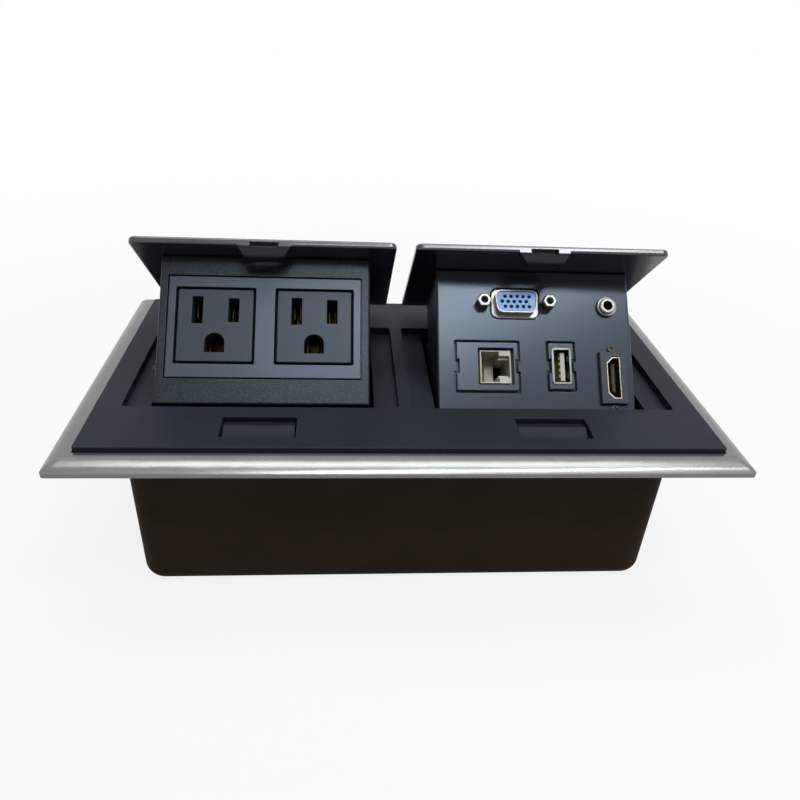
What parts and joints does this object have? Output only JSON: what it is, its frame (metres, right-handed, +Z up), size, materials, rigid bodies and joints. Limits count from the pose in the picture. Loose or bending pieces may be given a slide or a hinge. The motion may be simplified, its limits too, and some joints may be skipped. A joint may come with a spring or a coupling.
{
  "type": "desk connectivity panel",
  "caption": "Flush desk panel in a silver frame, with two sprung flip-up modules: one with mains outlets, one with data ports, held shut by slide latches.",
  "frame": {"origin": "middle of the trim frame, on the plane of the desk top", "axes": "+X along the panel to the right, +Y to the rear, where the hinges are, +Z up"},
  "size_m": [0.23, 0.132, 0.1201],
  "materials": {
    "frame_silver": "satin",
    "panel_black": "matte",
    "housing_black": "matte",
    "lid_black": "satin",
    "case_black": "matte",
    "plate_black": "matte",
    "outlet_black": "matte",
    "bezel_black": "matte",
    "button_black": "satin",
    "screw_black": "blackened",
    "pin_steel": "turned",
    "spring_steel": "drawn wire",
    "grommet_rubber": "matte",
    "contact_brass": "stamped",
    "connector_nickel": "nickel plated",
    "connector_blue": "moulded",
    "connector_black": "moulded",
    "connector_ivory": "moulded"
  },
  "bodies": {
    "panel": {"cable_grommets": "grommet_rubber", "housing": "housing_black", "left_hinge_pin": "pin_steel", "left_latch_spring": "spring_steel", "left_lift_spring": "spring_steel", "panel_screws": "screw_black", "right_hinge_pin": "pin_steel", "right_latch_spring": "spring_steel", "right_lift_spring": "spring_steel", "top_panel": "panel_black", "trim_frame": "frame_silver"},
    "left_module": {"left_lid": "lid_black", "left_case": "case_black", "left_lid_screws": "pin_steel", "socket_plate": "plate_black", "outlet_strip": "outlet_black", "outlet_face_left": "outlet_black", "outlet_face_right": "outlet_black", "neutral_contacts": "contact_brass", "hot_contacts": "contact_brass", "ground_contacts": "contact_brass", "outlet_back": "case_black", "terminal_screws": "contact_brass"},
    "right_module": {"right_lid": "lid_black", "right_case": "case_black", "right_lid_screws": "pin_steel", "data_plate": "plate_black", "video_shell": "connector_nickel", "video_insert": "connector_blue", "video_posts": "connector_nickel", "video_body": "connector_black", "audio_bush": "connector_nickel", "audio_body": "connector_black", "network_frame": "bezel_black", "network_jack": "connector_ivory", "network_contacts": "contact_brass", "usb_frame": "bezel_black", "usb_shell": "connector_nickel", "usb_tongue": "connector_ivory", "usb_contacts": "contact_brass", "media_frame": "bezel_black", "media_shell": "connector_nickel", "media_tongue": "connector_black", "media_screws": "screw_black"},
    "left_button": {"left_latch_button": "button_black"},
    "right_button": {"right_latch_button": "button_black"}
  },
  "joints": [
    {"name": "left_module_hinge", "type": "hinge", "parent": "panel", "child": "left_module", "pos_m": [-0.0502, 0.0465, -0.01], "axis": [1, 0, 0], "range_deg": [0, 42.5], "stiffness_Nm_per_rad": 0.35, "springref_deg": -22.92},
    {"name": "right_module_hinge", "type": "hinge", "parent": "panel", "child": "right_module", "pos_m": [0.0502, 0.0465, -0.01], "axis": [1, 0, 0], "range_deg": [0, 42.5], "stiffness_Nm_per_rad": 0.35, "springref_deg": -22.92},
    {"name": "left_latch_slide", "type": "slide", "parent": "panel", "child": "left_button", "axis": [0, -1, 0], "range_m": [0, 0.0025], "stiffness_N_per_m": 300, "springref_m": -0.002, "deforming": ["left_latch_spring"]},
    {"name": "right_latch_slide", "type": "slide", "parent": "panel", "child": "right_button", "axis": [0, -1, 0], "range_m": [0, 0.0025], "stiffness_N_per_m": 300, "springref_m": -0.002, "deforming": ["right_latch_spring"]}
  ]
}
